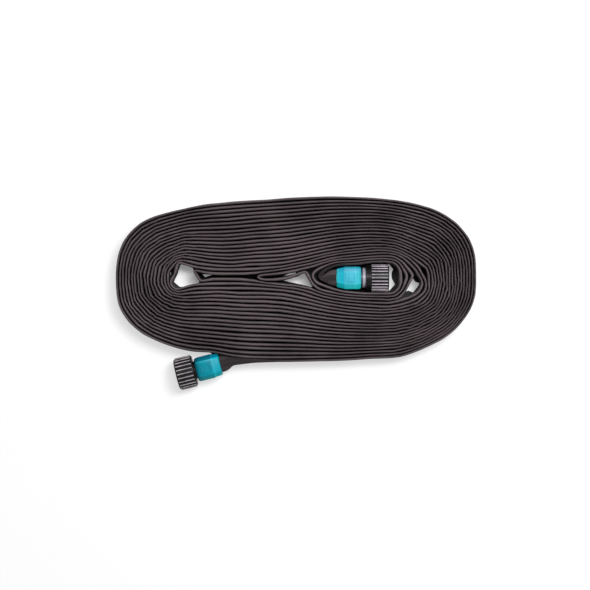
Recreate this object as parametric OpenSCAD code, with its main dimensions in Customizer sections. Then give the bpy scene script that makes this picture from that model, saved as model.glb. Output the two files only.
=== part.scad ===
// Soaker hose: a flat hose wound on edge into a long oval coil. A swivel nut is on its
// outer end, and a thread with a screw cap is on its inner end, in the middle of the coil.
// The part lies on the plane z = 0, with +X along the coil and +Z up.

/* [Hose] */
// Outer diameter of the hose when it is full and round
hose_d = 18.5; // [18:0.1:18.8]
// Thickness of the hose where it lies flat, both walls together
hose_t = 2.1; // [1.6:0.1:2.1]
// Height of the shoulders along the top edge of the flat hose
edge_h = 0.8; // [0.4:0.1:1.5]

/* [Coil] */
// Number of turns in the coil
turns = 22; // [14:1:22]
// Distance from the middle of the part to the hose at the left end of the coil
reach_left = 192.3; // [190:0.5:196]
// Distance from the middle of the part to the hose at the right end of the coil
reach_right = 191.8; // [190:0.5:196]
// Height of the outermost turn over the middle line of the coil
rise_top = 88.4; // [88:0.2:92]
// Depth of the outermost turn below the middle line of the coil
rise_bottom = 86.2; // [86:0.2:90]

/* [Inlet fitting] */
// Angle between the inlet fitting and the length of the coil
inlet_turn = 14; // [12:0.5:15]
// Radius of the swivel nut over its ribs
nut_r = 17.5; // [17.2:0.1:17.8]
// Length of the swivel nut
nut_l = 19.7; // [18.5:0.1:20]
// Number of ribs round the swivel nut
nut_ribs = 24; // [16:2:30]
// Width of the inlet collar across its flats
inlet_collar_w = 25.6; // [25:0.1:26]

/* [Outlet fitting] */
// Radius of the screw cap over its ribs
cap_r = 14.7; // [14.6:0.1:14.8]
// Number of ribs round the screw cap
cap_ribs = 24; // [16:2:30]
// Width of the outlet collar across its flats
outlet_collar_w = 24; // [23.6:0.1:24.4]

/* [Hidden] */

hose_colour = [0.24, 0.22, 0.23];
liner_colour = [0.12, 0.12, 0.12];
teal = [0, 0.58, 0.66];
black = [0.09, 0.09, 0.1];
pale_grey = [0.74, 0.72, 0.76];
rubber_grey = [0.3, 0.3, 0.32];
round_fn = 96;

// The hose wall is an inner liner in an outer jacket. Flat or round, its girth is the same.
wall = hose_t / 2;
liner_wall = wall * 0.45;
jacket_r = hose_d / 2;
jacket_inner_r = jacket_r - wall + liner_wall;
liner_inner_r = jacket_r - wall;
girth = PI * hose_d;
function flat_height(t) = girth / 2 - (PI / 2 - 1) * t;
flat_h = flat_height(hose_t);

// Places of the two fittings, each at the end of its collar where the hose comes out.
inlet_x = -81.8;
inlet_y = -76.2;
inlet_z = nut_r;
outlet_x = 42.8;
outlet_y = 16.3;
outlet_z = cap_r;

// ---- The coil: every turn is an oval of four quarters, and grows by the same step ----

rings_per_turn = 24;
first_ring = 1;
last_ring = rings_per_turn * (turns - 1) + 18;
inner_left = [-23, -16.6, 42.3, 108.6, 134];  // reach of the inner turns to the left
inner_right = [112, 118.6, 125.4, 134.3, 139.6];  // and to the right
inner_rise = 17.4;                            // half height of the turn round the outlet
inner_mid = 66;                               // where the innermost turn is highest
oval_y = 13.9;                                // middle line of the outermost turn
waist_x = -45;                                // where the turns are drawn in
waist_right = 85;                             // how far the waist fades out to the right
waist_left = 115;                             // and to the left
closed_gap = 2.1;                             // least half height in the waist
third_step = 1.35;                            // extra room inside the third turn
fourth_step = 0.8;                            // and inside the fourth
waist_top = 22.8;                             // depth of the waist at the inner turns, above
waist_top_step = 0.78;                        // and how much less it is at each turn
waist_bottom = 26;                            // the same below
waist_bottom_step = 1.26;
dent_x = -88;                                 // where the outer turns lie against the collar
dent_width = 26;
dent_depth = 2.3;

function mix(a, b, t) = a + (b - a) * t;
function clamp01(t) = min(1, max(0, t));
function ease(t) = let (c = clamp01(t)) c * c * (3 - 2 * c);
function bump(d) = abs(d) < 1 ? (1 + cos(180 * d)) / 2 : 0;

function left_end(m) = m < 4
    ? inner_left[m]
    : let (f = (m - 4) / (turns - 5)) mix(inner_left[4], reach_left, f + 0.12 * f * (1 - f));
function left_reach(u) = let (m = floor(u), f = u - m)
    mix(left_end(m), left_end(m + 1), ease((f - 0.25) / 0.5));
function right_end(m) = m < 4
    ? inner_right[max(0, m)]
    : mix(inner_right[4], reach_right, (m - 4) / (turns - 5));
function right_reach(u) = let (m = floor(u - 0.5), f = u - 0.5 - m)
    mix(right_end(m), right_end(m + 1), ease((f - 0.25) / 0.5));
function mid_x(u) = mix(inner_mid, 0, u / turns);
function mid_y(u) = mix(outlet_y, oval_y, u / turns);

// How deep the waist is at x, from 0 to 1; it runs on to the left in the innermost turns.
function waist_flat(u) = 45 * clamp01(4 - u);
function waist(x, u) =
    let (
        f = waist_flat(u),
        d = x > waist_x ? (x - waist_x) / waist_right
            : x > waist_x - f ? 0
            : (x - waist_x + f) / (waist_left - 0.75 * f)
    )
    bump(d);

// How far the last turns are pushed in beside the inlet collar.
function dent(x, u) = dent_depth * clamp01((u - turns + 4.5) / 3) * bump((x - dent_x) / dent_width);

// Half heights above and below the middle line, with the waist taken off. The third and the
// fourth turn each lie a little further out, where they pass the end of the turn inside.
function step_out(u) = third_step * clamp01(u - 2.2) + fourth_step * clamp01(u - 3.2);
function top_rise(x, u) = max(closed_gap,
    mix(inner_rise, rise_top - third_step - fourth_step, (u - 0.25) / (turns - 1))
    + step_out(u) - max(0, waist_top - waist_top_step * u) * waist(x, u));
function bottom_rise(x, u) = max(closed_gap,
    mix(inner_rise, rise_bottom - third_step - fourth_step, (u - 0.75) / (turns - 1))
    + step_out(u + 0.42) - max(0, waist_bottom - waist_bottom_step * u) * waist(x, u) - dent(x, u));

// Roundness of each quarter: 2 is an ellipse, and larger is squarer. At the right end it is
// given for some of the turns. The innermost turn is square there, round the screw cap.
right_top = [[0.25, 5], [1.25, 3.9], [2.25, 3.3], [3.25, 2.6], [4.25, 2.4], [6.25, 2.5],
    [10.25, 2.7], [15, 3], [22, 3.2]];
right_bottom = [[0.75, 6.5], [1.75, 4.1], [2.75, 3], [3.75, 3.2], [4.75, 3.3], [6.75, 3.3],
    [10.75, 3.1], [15, 2.9], [22, 2.7]];
function roundness(u, left, top) = left
    ? (u < 2 ? 2.3 : mix(2.6, top ? 2.9 : 2.75, u / turns))
    : lookup(u, top ? right_top : right_bottom);

// Centre of the hose after u turns, from the left end, by way of the top.
function coil_point(u) =
    let (
        c = cos(360 * u),
        s = sin(360 * u),
        n = roundness(u, c >= 0, s >= 0),
        along = abs(c),
        up = pow(max(0, 1 - pow(along, n)), 1 / n),
        x = c >= 0 ? mix(mid_x(u), -left_reach(u), along) : mix(mid_x(u), right_reach(u), along)
    )
    [x, mid_y(u) + (s >= 0 ? top_rise(x, u) : -bottom_rise(x, u)) * up];

coil_points = [for (i = [first_ring:last_ring]) coil_point(i / rings_per_turn)];
coil_count = len(coil_points);

function unit(v) = v / norm(v);
function left_of(v) = [-v[1], v[0]];
function side_of(i) = left_of(unit(coil_points[i + 1] - coil_points[i]));
// The side vector of a ring, as long as the mitre between its two stretches needs.
function mitre(i) =
    let (a = side_of(max(0, i - 1)), b = side_of(min(coil_count - 2, i)))
    (a + b) / (1 + a * b);
left_side = [for (i = [0:coil_count - 1]) coil_points[i] + mitre(i) * hose_t / 2];
right_side = [for (i = [0:coil_count - 1]) coil_points[i] - mitre(i) * hose_t / 2];

// Least gap between the walls of the coil, measured from the corners of each ring to the
// walls along the rings up to a turn further on and a turn back.
function from_line(p, a, b) =
    let (ab = b - a, t = clamp01((p - a) * ab / (ab * ab)))
    norm(p - a - t * ab);
near = rings_per_turn + 4;
function near_rings(i) =
    [for (j = [max(0, i - near):min(coil_count - 2, i + near)]) if (abs(i - j) > 3) j];
function ring_gap(i) = min([for (j = near_rings(i), corner = [left_side[i], right_side[i]])
    from_line(corner, coil_points[j], coil_points[j + 1])]) - hose_t / 2;
least_gap = min([for (i = [0:coil_count - 1]) ring_gap(i)]);

function path_length(p) =
    [for (i = [1:len(p) - 1]) norm(p[i] - p[i - 1])] * [for (i = [1:len(p) - 1]) 1];

// Corners of a ring of the coil: flat on the floor, and shouldered along the top. The first
// number is in half thicknesses, and the second is a height.
crest = 0.35;
ring_corners = [[-1, 0], [1, 0], [1, flat_h - edge_h], [crest, flat_h],
    [-crest, flat_h], [-1, flat_h - edge_h]];
function coil_ring(i) =
    let (m = mitre(i) * hose_t / 2, p = coil_points[i])
    [for (q = ring_corners) [p[0] + m[0] * q[0], p[1] + m[1] * q[0], q[1]]];

// ---- Tubes through rings of equal numbers of points, clockwise as the tube runs ----

function fan(first, n, flip) = [for (k = [1:n - 2])
    flip ? [first, first + k + 1, first + k] : [first, first + k, first + k + 1]];
function skin(rings, n) = [for (i = [0:rings - 2], k = [0:n - 1])
    let (a = i * n + k, b = i * n + (k + 1) % n) each [[a, b + n, b], [a, a + n, b + n]]];
module tube_through(rings) {
    n = len(rings[0]);
    polyhedron(
        points = [for (r = rings) each r],
        faces = concat(fan(0, n, false), skin(len(rings), n), fan((len(rings) - 1) * n, n, true)),
        convexity = 10);
}

// ---- The free stretches: [x, y, z, thickness, heading] of each ring ----

lead_sides = 12;
function lead_section(t) =
    let (step = 360 / lead_sides, r = t / 2 / cos(step / 2), e = (flat_height(t) - t) / 2)
    [for (k = [0:lead_sides - 1]) let (a = step * (k + 0.5))
        [r * cos(a), r * sin(a) + (a < 180 ? e : -e)]];
function lead_ring(row) =
    [for (q = lead_section(row[3]))
        [row[0] - sin(row[4]) * q[0], row[1] + cos(row[4]) * q[0], row[2] + q[1]]];

// From the coil to the inlet collar, where the hose fills out to its round shape.
coil_end = coil_points[coil_count - 1];
coil_end_v = coil_end - coil_points[coil_count - 2];
coil_end_heading = atan2(coil_end_v[1], coil_end_v[0]);
flat_z = flat_h / 2;
inlet_heading = 180 + inlet_turn;
lead_d = 18.4;            // across the flats of the round end, at the collar
inlet_lead_rows = [
    [coil_end[0], coil_end[1], flat_z, hose_t, coil_end_heading],
    [-15, -72.6, flat_z, 2.3, 181],
    [-30, -72.9, flat_z, 2.6, 181],
    [-45, -73.2, 14, 3.4, 182],
    [-55, -73.5, 14.2, 4.6, 183],
    [-63, -73.9, 14.6, 6.4, 185],
    [-69, -74.2, 15.2, 9, 188],
    [-73, -74.6, 15.9, 12.4, 191],
    [-76.5, -75.2, 16.6, 16, 193],
    [-79, -75.6, 17.2, 18.2, 194],
    [inlet_x, inlet_y, inlet_z, lead_d, inlet_heading]
];

// From the outlet collar, where the hose flattens on edge and folds back.
coil_start = coil_points[0];
coil_start_v = coil_points[1] - coil_start;
coil_start_heading = atan2(coil_start_v[1], coil_start_v[0]);
outlet_lead_rows = [
    [outlet_x, outlet_y, outlet_z, lead_d, 180],
    [40.5, 16.3, 14.6, 17, 180],
    [38, 16.3, 14.5, 13.4, 180],
    [35.5, 16.3, 14.3, 9.8, 180],
    [33, 16.3, 14.1, 7, 180],
    [30.5, 16.4, 14, 4.8, 180],
    [28.5, 16.5, flat_z, 3.2, 179],
    [26.6, 16.8, flat_z, hose_t, 170],
    [24.8, 17.8, flat_z, hose_t, 135],
    [23.9, 19.4, flat_z, hose_t, 95],
    [coil_start[0], coil_start[1], flat_z, hose_t, coil_start_heading]
];

// ---- Threads: 11.5 to the inch, right handed ----

thread_pitch = 25.4 / 11.5;
thread_steps = 36;
male_root_r = 12.1;
male_crest_r = 13.25;
female_wall_r = 13.62;   // bottom of the thread groove in the swivel nut
female_crest_r = 12.4;   // bore of the swivel nut and crest of the ridge in the cap
cap_wall_r = 13.5;       // wall of the thread in the cap
ridge_widths = [0.6, 0.25];   // half widths of a ridge at its wall and at its crest
groove_widths = [0.62, 0.4];  // and of the groove at its mouth and at its bottom
ridge_root = 0.3;        // how deep a ridge is set into its wall

function ridge_ring(wall_r, crest_r, widths, z, a, grow) =
    let (s = crest_r > wall_r ? 1 : -1, tip = wall_r + (crest_r - wall_r) * grow)
    [for (p = [[wall_r - s * ridge_root, s * widths[0]], [tip, s * widths[1]],
            [tip, -s * widths[1]], [wall_r - s * ridge_root, -s * widths[0]]])
        [p[0] * cos(a), p[0] * sin(a), z + p[1]]];
// A ridge that climbs round the Z axis. It fades in over a quarter of a turn, and out again
// unless it runs out of the part.
module thread_ridge(wall_r, crest_r, turns_of_ridge, widths = ridge_widths, runs_out = false) {
    count = round(turns_of_ridge * thread_steps);
    fade = thread_steps / 4;
    tube_through([for (i = [0:count])
        ridge_ring(wall_r, crest_r, widths, thread_pitch * i / thread_steps,
            -90 + 360 * i / thread_steps,
            min(1, 0.1 + (runs_out ? i : min(i, count - i)) / fade))]);
}

// ---- Fittings: z is the distance from the collar's hose end, and -X is up ----

collar_l = 26.5;
collar_bore_r = jacket_r + 0.05;
collar_edge = 5;          // width of the slanted corners of the collar, to each side
collar_profile = [        // inset and distance of each outline of the collar
    [1.9, 0], [1.1, 1], [0.4, 8], [0, 9], [0, 23.5], [0.4, 25.3], [1.4, collar_l]
];
panel_z = 10;             // raised panel on the upper and the lower face
panel_l = 11;
panel_w = 13;
panel_h = 0.6;
panel_groove_w = 8;
panel_groove_l = 0.6;
panel_groove_inset = 2;
panel_groove_depth = 0.6;
shoulder_r = 10.6;
shoulder_z = 22;
shoulder_l = 2.2;
neck_r = 9.6;
barb_r = 7.4;
barb_crest_r = liner_inner_r - 0.05;
barb_z = 3;
barb_l = 4;
bore_r = 5.6;
catch_w = 8;              // spring catch on each side of the collar
catch_h = 6;
catch_t = 1.2;
catch_z = 13;

module at_inlet() translate([inlet_x, inlet_y, inlet_z]) rotate([0, 90, inlet_heading]) children();
module at_outlet() translate([outlet_x, outlet_y, outlet_z]) rotate([0, 90, 0]) children();

module ring(r_out, r_in, h) difference() {
    cylinder(h = h, r = r_out, $fn = round_fn);
    translate([0, 0, -1]) cylinder(h = h + 2, r = r_in, $fn = round_fn);
}

// Section of the collar: a square of half width a with its corners cut off.
function collar_section(a, z) = let (b = a - collar_edge)
    [for (p = [[a, -b], [a, b], [b, a], [-b, a], [-a, b], [-a, -b], [-b, -a], [b, -a]]) [p[0], p[1], z]];
module collar_body(width)
    tube_through([for (p = collar_profile) collar_section(width / 2 - p[0], p[1])]);
module centred_box(size, z) translate([-size[0] / 2, -size[1] / 2, z]) cube(size);
module collar_panel(width) difference() {
    centred_box([width + 2 * panel_h, panel_w, panel_l], panel_z);
    for (z = [panel_groove_inset, panel_l - panel_groove_inset - panel_groove_l], side = [-1, 1])
        translate([side * (width / 2 + panel_h), 0, 0])
            centred_box([2 * panel_groove_depth, panel_groove_w, panel_groove_l], panel_z + z);
}
// The whole collar with its bore, ridged to grip the jacket, and the groove for the shoulder.
module collar_shell(width) difference() {
    union() {
        collar_body(width);
        intersection() {
            collar_panel(width);
            cylinder(h = collar_l, r = width / 2 + 2 * panel_h, $fn = round_fn);
        }
    }
    translate([0, 0, -1]) cylinder(h = shoulder_z, r = collar_bore_r, $fn = round_fn);
    translate([0, 0, shoulder_z - 1.2]) cylinder(h = shoulder_l + 1.4, r = shoulder_r + 0.2, $fn = round_fn);
    translate([0, 0, 20]) cylinder(h = collar_l, r = neck_r + 0.1, $fn = round_fn);
}
// The catch on one side: a tongue of the lower shell that springs over a step in the upper.
module catch_room(width, slack) for (side = [-1, 1])
    translate([-catch_h - slack, side * (width / 2 - catch_t / 2) - catch_t / 2 - slack, catch_z - slack])
        cube([catch_h + 2 * slack, catch_t + 2 * slack, catch_w + 2 * slack]);
module collar_upper(width) difference() {
    collar_shell(width);
    translate([0, -width, -1]) cube([width, 2 * width, collar_l + 2]);
    catch_room(width, 0.1);
}
module collar_lower(width) union() {
    difference() {
        collar_shell(width);
        translate([-width, -width, -1]) cube([width, 2 * width, collar_l + 2]);
    }
    catch_room(width, 0);
}

// Barbs, shoulder and neck that both tailpieces share, up to the end of the collar.
module tailpiece_stem(neck_end) union() {
    translate([0, 0, barb_z]) cylinder(h = shoulder_z - barb_z + 1, r = barb_r, $fn = round_fn);
    for (k = [0:2]) translate([0, 0, barb_z + 1 + 6 * k])
        cylinder(h = barb_l, r1 = barb_r, r2 = barb_crest_r, $fn = round_fn);
    translate([0, 0, shoulder_z]) cylinder(h = shoulder_l, r = shoulder_r, $fn = round_fn);
    translate([0, 0, shoulder_z]) cylinder(h = neck_end - shoulder_z, r = neck_r, $fn = round_fn);
}

module jacket_end() ring(jacket_r, jacket_inner_r, shoulder_z - 1.3);
module liner_end() ring(jacket_inner_r, liner_inner_r, shoulder_z - 1.6);

// ---- Inlet ----

nut_z = 28.6;             // near face of the nut
nut_back = 3;             // wall of the nut behind the flange
flange_r = 12.1;
flange_z = nut_z + nut_back + 0.3;
flange_l = 2.2;
washer_z = flange_z + flange_l;
washer_l = 2.7;
washer_r = 12.9;
washer_hole_r = 7.5;
restrictor_r = 9;
restrictor_l = 1.2;
restrictor_hole_r = 1.6;
rib_depth = 0.9;
rib_r = 1.15;
rib_inset = 1.3;          // how far the ribs stop from each end
nut_room_l = 5.5;         // room for the flange and the washer, behind the thread
nut_room_r = 13.4;
nut_thread_z = 10.2;      // from the near face of the nut to the start of its thread
mouth_l = 1.3;            // lead-in of the thread

nut_thread_turns = (nut_l + 1 - nut_thread_z) / thread_pitch;

module inlet_jacket_end() color(hose_colour) at_inlet() jacket_end();
module inlet_liner_end() color(liner_colour) at_inlet() liner_end();
module inlet_collar_upper() color(teal) at_inlet() collar_upper(inlet_collar_w);
module inlet_collar_lower() color(teal) at_inlet() collar_lower(inlet_collar_w);
module inlet_tailpiece() color(black) at_inlet() difference() {
    union() {
        tailpiece_stem(flange_z + 0.5);
        translate([0, 0, flange_z]) cylinder(h = flange_l, r = flange_r, $fn = round_fn);
    }
    translate([0, 0, -1]) cylinder(h = washer_z + 2, r = bore_r, $fn = round_fn);
}
module inlet_washer() color(rubber_grey) at_inlet() translate([0, 0, washer_z]) difference() {
    ring(washer_r, washer_hole_r, washer_l);
    translate([0, 0, -1]) cylinder(h = restrictor_l + 1, r = restrictor_r, $fn = round_fn);
}
module flow_restrictor() color(pale_grey) at_inlet() translate([0, 0, washer_z])
    ring(restrictor_r, restrictor_hole_r, restrictor_l);
module swivel_nut() color(black) at_inlet() translate([0, 0, nut_z])
    difference() {
        union() {
            cylinder(h = nut_l, r = nut_r - rib_depth, $fn = round_fn);
            translate([0, 0, 1]) cylinder(h = nut_l - 2, r = nut_r - rib_depth / 2, $fn = round_fn);
            for (k = [0:nut_ribs - 1]) rotate(360 * k / nut_ribs)
                translate([nut_r - rib_r, 0, rib_inset])
                    cylinder(h = nut_l - 2 * rib_inset, r = rib_r, $fn = 24);
        }
        translate([0, 0, nut_back]) cylinder(h = nut_room_l, r = nut_room_r, $fn = round_fn);
        translate([0, 0, nut_back + 1]) cylinder(h = nut_l, r = female_crest_r, $fn = round_fn);
        translate([0, 0, -1]) cylinder(h = nut_back + 2, r = neck_r + 0.3, $fn = round_fn);
        translate([0, 0, nut_l - mouth_l])
            cylinder(h = mouth_l + 0.1, r1 = female_crest_r, r2 = female_crest_r + mouth_l + 0.1,
                $fn = round_fn);
        translate([0, 0, nut_thread_z])
            thread_ridge(female_crest_r, female_wall_r, nut_thread_turns, groove_widths, true);
    }

// ---- Outlet ----

collar_ring_z = 28.3;     // pale ring that shows between the collar and the cap
collar_ring_l = 3.2;
collar_ring_r = 11;
thread_z = 41;            // first turn of the outlet thread
thread_start_z = 34;      // plain shank under the thread
thread_end_z = 51;
flare_z = 36;             // where the bore starts to widen
flare_r = 20;
cap_z = 31.9;
cap_end_z = 56.5;
cap_floor_z = 53.6;
skirt_l = 5.4;
skirt_r = 14.2;
groove_depth = 0.25;
groove_l = 0.5;
cap_rib_r = 0.9;
cap_rib_depth = 0.45;
cap_bevel = 1;            // rounding of the closed end
cap_washer_hole_r = 4;
slack = 0.1;              // between the cap's washer and what it lies against

module outlet_jacket_end() color(hose_colour) at_outlet() jacket_end();
module outlet_liner_end() color(liner_colour) at_outlet() liner_end();
module outlet_collar_upper() color(teal) at_outlet() collar_upper(outlet_collar_w);
module outlet_collar_lower() color(teal) at_outlet() collar_lower(outlet_collar_w);
module outlet_tailpiece() color(pale_grey) at_outlet() difference() {
    union() {
        tailpiece_stem(thread_z);
        translate([0, 0, collar_ring_z]) cylinder(h = collar_ring_l, r = collar_ring_r, $fn = round_fn);
        translate([0, 0, thread_start_z])
            cylinder(h = thread_end_z - thread_start_z, r = male_root_r, $fn = round_fn);
        translate([0, 0, thread_z]) thread_ridge(male_root_r, male_crest_r, 4);
    }
    translate([0, 0, -1]) cylinder(h = thread_end_z + 2, r = bore_r, $fn = round_fn);
    translate([0, 0, flare_z]) cylinder(h = thread_end_z, r1 = bore_r, r2 = flare_r, $fn = round_fn);
}
module cap_washer() color(rubber_grey) at_outlet()
    translate([0, 0, thread_end_z + slack])
        ring(washer_r, cap_washer_hole_r, cap_floor_z - thread_end_z - 2 * slack);
module cap_outline() {
    // the skirt with its two grooves
    difference() {
        cylinder(h = skirt_l, r = skirt_r, $fn = round_fn);
        for (z = [1.5, 3.3]) translate([0, 0, z]) ring(skirt_r + 1, skirt_r - groove_depth, groove_l);
    }
    // the grip, with a rounded end
    grip_l = cap_end_z - cap_z;
    grip_r = cap_r - cap_rib_depth;
    translate([0, 0, skirt_l]) cylinder(h = grip_l - skirt_l - cap_bevel, r = grip_r, $fn = round_fn);
    translate([0, 0, grip_l - cap_bevel])
        cylinder(h = cap_bevel, r1 = grip_r, r2 = grip_r - cap_bevel, $fn = round_fn);
    for (k = [0:cap_ribs - 1]) rotate(360 * k / cap_ribs)
        translate([cap_r - cap_rib_r, 0, skirt_l + 0.6])
            cylinder(h = grip_l - skirt_l - 0.6 - 1.2 * cap_bevel, r = cap_rib_r, $fn = 24);
}
module end_cap() color(black) at_outlet() union() {
    difference() {
        translate([0, 0, cap_z]) cap_outline();
        translate([0, 0, cap_z - 1]) cylinder(h = cap_floor_z - cap_z + 1, r = cap_wall_r, $fn = round_fn);
    }
    translate([0, 0, thread_z + 2.5 * thread_pitch]) thread_ridge(cap_wall_r, female_crest_r, 2);
}

// ---- Hose ----

module hose_coil() color(hose_colour) tube_through([for (i = [0:coil_count - 1]) coil_ring(i)]);
module inlet_lead() color(hose_colour) tube_through([for (row = inlet_lead_rows) lead_ring(row)]);
module outlet_lead() color(hose_colour) tube_through([for (row = outlet_lead_rows) lead_ring(row)]);

hose_coil();
inlet_lead();
outlet_lead();
inlet_jacket_end();
inlet_liner_end();
inlet_collar_upper();
inlet_collar_lower();
inlet_tailpiece();
inlet_washer();
flow_restrictor();
swivel_nut();
outlet_jacket_end();
outlet_liner_end();
outlet_collar_upper();
outlet_collar_lower();
outlet_tailpiece();
cap_washer();
end_cap();

lead_points = [for (rows = [inlet_lead_rows, outlet_lead_rows]) [for (r = rows) [r[0], r[1], r[2]]]];
echo(least_gap_mm = least_gap, hose_length_mm = path_length(coil_points)
    + path_length(lead_points[0]) + path_length(lead_points[1]));
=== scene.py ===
# %% [markdown]
# # A flat soaker hose, wound on edge
#
# The part is a flat woven hose, wound on edge into a long oval, with a fitting at each end.
# The CAD frame is loaded first. It fixes where every piece is, and Blender adds the looks:
# the cloth of the hose, the rounded edges of the plastic, and the surface of each.

# %% Load the frame
import math

import bmesh
import bpy
import numpy as np
from mathutils import Matrix, Vector, kdtree


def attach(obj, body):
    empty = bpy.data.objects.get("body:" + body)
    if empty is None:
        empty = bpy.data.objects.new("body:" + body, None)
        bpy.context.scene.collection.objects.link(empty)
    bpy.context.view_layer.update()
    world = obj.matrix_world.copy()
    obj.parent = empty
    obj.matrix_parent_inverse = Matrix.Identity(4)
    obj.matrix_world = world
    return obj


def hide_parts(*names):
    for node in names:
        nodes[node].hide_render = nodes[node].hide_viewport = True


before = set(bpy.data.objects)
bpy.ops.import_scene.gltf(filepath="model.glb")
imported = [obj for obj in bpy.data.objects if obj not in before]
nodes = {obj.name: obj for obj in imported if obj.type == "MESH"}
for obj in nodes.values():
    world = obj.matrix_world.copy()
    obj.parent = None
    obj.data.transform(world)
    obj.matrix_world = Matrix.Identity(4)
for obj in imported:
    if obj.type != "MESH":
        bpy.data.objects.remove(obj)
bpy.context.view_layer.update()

scene = bpy.context.scene
MM = 0.001

# %% [markdown]
# ## The camera
#
# The hose is seen from straight above. A lens is easier to set by what it has to take in
# than by its length in millimetres: the frame is so many millimetres wide at the height
# of the hose's top edge, and the camera hangs 1.8 m above that.

# %% Camera
IMAGE_PIXELS = 590
MM_PER_PIXEL = 1.07
TOP_EDGE = 28 * MM
CAMERA_HEIGHT = 1.8
VIEW_MIDDLE = (-1.6, -2.1)
SENSOR = 36

frame_width = IMAGE_PIXELS * MM_PER_PIXEL * MM
camera_data = bpy.data.cameras.new("camera")
camera_data.sensor_width = SENSOR
camera_data.lens = SENSOR * CAMERA_HEIGHT / frame_width
camera = bpy.data.objects.new("camera", camera_data)
camera.location = (VIEW_MIDDLE[0] * MM, VIEW_MIDDLE[1] * MM, TOP_EDGE + CAMERA_HEIGHT)
scene.collection.objects.link(camera)
scene.camera = camera
scene.view_settings.view_transform = "Standard"
print("lens:", round(camera_data.lens, 1), "mm")

# %% [markdown]
# ## Building materials by name
#
# A material is a small graph of nodes. Adding each node by hand takes many lines, so one
# helper adds a node and fills its inputs. An input takes a value, or the output of another
# node, and then the two are linked. The other helpers add the kinds that are used most.

# %% Helpers for materials
def new_material(name):
    material = bpy.data.materials.new(name)
    material.use_nodes = True
    material.node_tree.nodes.clear()
    return material, material.node_tree


def add(tree, kind, inputs=None, **settings):
    node = tree.nodes.new(kind)
    for key, value in settings.items():
        setattr(node, key, value)
    for key, value in (inputs or {}).items():
        if isinstance(value, bpy.types.NodeSocket):
            tree.links.new(value, node.inputs[key])
        else:
            node.inputs[key].default_value = value
    return node


def ramp(tree, factor, stops):
    node = add(tree, "ShaderNodeValToRGB", {"Fac": factor})
    elements = node.color_ramp.elements
    while len(elements) < len(stops):
        elements.new(0.5)
    for element, (position, colour) in zip(elements, stops):
        element.position = position
        element.color = (*colour, 1)
    return node.outputs["Color"]


def math_node(tree, operation, a, b=0.0, clamp=False):
    node = add(tree, "ShaderNodeMath", {0: a, 1: b}, operation=operation, use_clamp=clamp)
    return node.outputs["Value"]


def noise_node(tree, place, scale, detail=2.0):
    """A cloud from 0 to 1, with about as many bumps to the metre as its scale says."""
    inputs = {"Vector": place, "Scale": scale, "Detail": detail}
    return add(tree, "ShaderNodeTexNoise", inputs).outputs["Fac"]


def finish_material(tree, shader):
    out = add(tree, "ShaderNodeOutputMaterial")
    tree.links.new(shader, out.inputs["Surface"])


print("helpers for materials are ready")

# %% [markdown]
# ## The floor and the light
#
# The hose lies on a plain white floor. A floor that is lit until it is white would drown the
# dark cloth in light, so the floor's own white is split: part of it is lit, and keeps the
# shadow, and part of it glows, but only for what the camera sees and for reflections.
# Between the turns of the hose the floor glows less and is painted dark, as painted shade, because
# little light gets in there.

# %% Floor
FLOOR_SIZE = 6.0
OPEN_GLOW = 0.62
FLOOR_SUM = 1.05
FLOOR_CLOUD_SCALE = 4.0
FLOOR_CLOUD_DEPTH = 0.01
PLAIN_FLOOR = (0.8, 0.8, 0.8, 1)

bm = bmesh.new()
bmesh.ops.create_grid(bm, x_segments=1, y_segments=1, size=FLOOR_SIZE / 2)
floor_mesh = bpy.data.meshes.new("floor")
bm.to_mesh(floor_mesh)
bm.free()
floor = bpy.data.objects.new("floor", floor_mesh)
scene.collection.objects.link(floor)


def oval_distance(tree, centre, half_size):
    """0 in the middle of an oval on the floor, and 1 on its outline."""
    place = add(tree, "ShaderNodeTexCoord").outputs["Object"]
    across = Vector((1 / half_size[0], 1 / half_size[1], 0)) / MM
    start = Vector((-centre[0] / half_size[0], -centre[1] / half_size[1], 0))
    scaled = add(tree, "ShaderNodeMapping", {"Vector": place, "Scale": across, "Location": start})
    length = add(tree, "ShaderNodeVectorMath", {0: scaled.outputs["Vector"]}, operation="LENGTH")
    return length.outputs["Value"]


def faded(tree, value, edge, from_value, to_value):
    """from_value inside an oval, to_value outside it."""
    return add(tree, "ShaderNodeMapRange", {
        "Value": value, "From Min": edge[0], "From Max": edge[1],
        "To Min": from_value, "To Max": to_value,
    }).outputs["Result"]


def seen_ray(tree):
    """1 for what the camera sees, also by way of a reflection, and 0 for other light."""
    path = add(tree, "ShaderNodeLightPath").outputs
    seen = math_node(tree, "ADD", path["Is Camera Ray"], path["Is Glossy Ray"], True)
    return math_node(tree, "ADD", seen, path["Is Transmission Ray"], True)


def floor_white(name, glow, lit):
    """A white floor: glow is how much of the white it gives off itself, lit how much it reflects."""
    material, tree = new_material(name)
    place = add(tree, "ShaderNodeTexCoord").outputs["Object"]
    cloud = noise_node(tree, place, FLOOR_CLOUD_SCALE)
    darkest = lit * (1 - FLOOR_CLOUD_DEPTH)
    lightest = lit * (1 + FLOOR_CLOUD_DEPTH)
    uneven = faded(tree, cloud, (0, 1), darkest, lightest)
    channels = {"Red": uneven, "Green": uneven, "Blue": uneven}
    grey = add(tree, "ShaderNodeCombineColor", channels).outputs["Color"]
    lit_shader = add(tree, "ShaderNodeBsdfDiffuse", {"Color": grey}).outputs["BSDF"]
    glow_shader = add(tree, "ShaderNodeEmission", {"Strength": glow}).outputs["Emission"]
    seen_shader = add(tree, "ShaderNodeAddShader", {0: lit_shader, 1: glow_shader}).outputs["Shader"]
    plain = add(tree, "ShaderNodeBsdfDiffuse", {"Color": PLAIN_FLOOR}).outputs["BSDF"]
    shader = add(tree, "ShaderNodeMixShader", {"Fac": seen_ray(tree), 1: plain, 2: seen_shader})
    finish_material(tree, shader.outputs["Shader"])
    return material


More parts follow.
